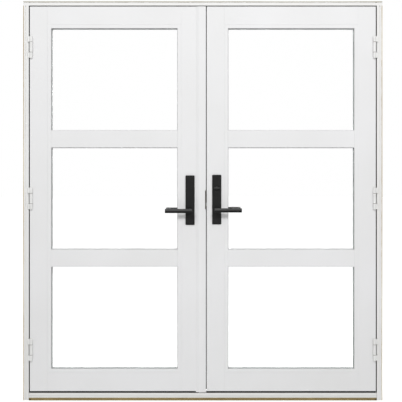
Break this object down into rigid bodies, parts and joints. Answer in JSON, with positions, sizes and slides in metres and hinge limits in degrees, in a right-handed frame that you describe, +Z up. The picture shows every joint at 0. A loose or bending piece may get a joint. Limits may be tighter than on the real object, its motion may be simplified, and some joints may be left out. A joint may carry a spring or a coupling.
{
  "type": "french doors",
  "caption": "Pair of glazed doors in a painted frame, opening into the room, with divided lites, lever handles on long plates, butt hinges, astragal, latch, deadbolt and shoot bolts.",
  "frame": {"origin": "middle of the sill's underside", "axes": "+X to the right seen from the room, +Y away from the room to the weather side, +Z up"},
  "size_m": [1.816, 0.1867, 2.019],
  "materials": {
    "leaf_paint": "satin white paint on wood",
    "frame_paint": "satin white paint on wood",
    "raw_pine": "bare wood, brown with age",
    "sill_aluminium": "satin white paint on an extrusion",
    "cap_composite": "white composite",
    "glass": "clear sealed unit",
    "spacer_aluminium": "mill grey",
    "glazing_tape": "grey foam tape",
    "dark_seal": "dark flexible seal",
    "hinge_white": "white powder coat",
    "black_hardware": "satin black",
    "dark_bronze": "dark bronze",
    "bright_steel": "zinc plated"
  },
  "bodies": {
    "frame": {"head_jamb": "frame_paint", "left_jamb": "frame_paint", "right_jamb": "frame_paint", "sill_base": "raw_pine", "sill": "sill_aluminium", "threshold_cap": "cap_composite", "frame_weatherstrips": "dark_seal", "head_keeper": "bright_steel", "sill_keeper": "bright_steel", "left_hinge_frame_leaves": "hinge_white", "right_hinge_frame_leaves": "hinge_white", "left_hinge_pins": "hinge_white", "right_hinge_pins": "hinge_white"},
    "left_door": {"left_hinge_stile": "leaf_paint", "left_meeting_stile": "leaf_paint", "left_top_rail": "leaf_paint", "left_bottom_rail": "leaf_paint", "left_inner_pane": "glass", "left_outer_pane": "glass", "left_spacer_grid": "spacer_aluminium", "left_glazing_beads": "leaf_paint", "left_glazing_seals": "glazing_tape", "left_divider_bars": "leaf_paint", "left_door_sweep": "dark_seal", "left_hinge_door_leaves": "hinge_white", "left_inside_plate": "black_hardware", "left_outside_plate": "black_hardware", "astragal": "leaf_paint", "astragal_seal": "dark_seal", "strike_plate": "dark_bronze", "gear_case": "bright_steel"},
    "right_door": {"right_hinge_stile": "leaf_paint", "right_meeting_stile": "leaf_paint", "right_top_rail": "leaf_paint", "right_bottom_rail": "leaf_paint", "right_inner_pane": "glass", "right_outer_pane": "glass", "right_spacer_grid": "spacer_aluminium", "right_glazing_beads": "leaf_paint", "right_glazing_seals": "glazing_tape", "right_divider_bars": "leaf_paint", "right_door_sweep": "dark_seal", "right_hinge_door_leaves": "hinge_white", "right_inside_plate": "black_hardware", "right_outside_plate": "black_hardware", "lock_case": "bright_steel", "lock_faceplate": "dark_bronze", "key_cylinder": "dark_bronze"},
    "left_lever": {"left_inside_lever": "black_hardware", "left_outside_lever": "black_hardware", "left_spindle": "bright_steel"},
    "right_lever": {"right_inside_lever": "black_hardware", "right_outside_lever": "black_hardware", "right_spindle": "bright_steel"},
    "thumbturn": {"thumbturn": "black_hardware"},
    "latch_bolt": {"latch_bolt": "bright_steel"},
    "deadbolt": {"deadbolt": "bright_steel"},
    "top_shoot_bolt": {"top_shoot_bolt": "bright_steel"},
    "bottom_shoot_bolt": {"bottom_shoot_bolt": "bright_steel"}
  },
  "joints": [
    {"name": "left_door_hinge", "type": "hinge", "parent": "frame", "child": "left_door", "pos_m": [-0.867, -0.067, 0], "axis": [0, 0, -1], "range_deg": [0, 110]},
    {"name": "right_door_hinge", "type": "hinge", "parent": "frame", "child": "right_door", "pos_m": [0.867, -0.067, 0], "axis": [0, 0, 1], "range_deg": [0, 110]},
    {"name": "left_lever_turn", "type": "hinge", "parent": "left_door", "child": "left_lever", "pos_m": [-0.0645, 0, 0.961], "axis": [0, 1, 0], "range_deg": [0, 45]},
    {"name": "top_bolt_slide", "type": "slide", "parent": "left_door", "child": "top_shoot_bolt", "axis": [0, 0, 1], "range_m": [0, 0.02]},
    {"name": "bottom_bolt_slide", "type": "slide", "parent": "left_door", "child": "bottom_shoot_bolt", "axis": [0, 0, -1], "range_m": [0, 0.02]},
    {"name": "right_lever_turn", "type": "hinge", "parent": "right_door", "child": "right_lever", "pos_m": [0.0703, 0, 0.964], "axis": [0, 1, 0], "range_deg": [0, 45], "stiffness_Nm_per_rad": 1.5, "springref_deg": -34.38},
    {"name": "latch_slide", "type": "slide", "parent": "right_door", "child": "latch_bolt", "axis": [1, 0, 0], "range_m": [0, 0.0127]},
    {"name": "thumbturn_turn", "type": "hinge", "parent": "right_door", "child": "thumbturn", "pos_m": [0.0703, 0, 1.0735], "axis": [0, 1, 0], "range_deg": [0, 90]},
    {"name": "deadbolt_slide", "type": "slide", "parent": "right_door", "child": "deadbolt", "axis": [-1, 0, 0], "range_m": [0, 0.02]}
  ],
  "couplings": [
    {"joint": "top_bolt_slide", "follows": "left_lever_turn", "m_per_rad": 0.02546},
    {"joint": "bottom_bolt_slide", "follows": "left_lever_turn", "m_per_rad": 0.02546},
    {"joint": "latch_slide", "follows": "right_lever_turn", "m_per_rad": 0.01617},
    {"joint": "thumbturn_turn", "follows": "deadbolt_slide", "rad_per_m": 78.5}
  ]
}
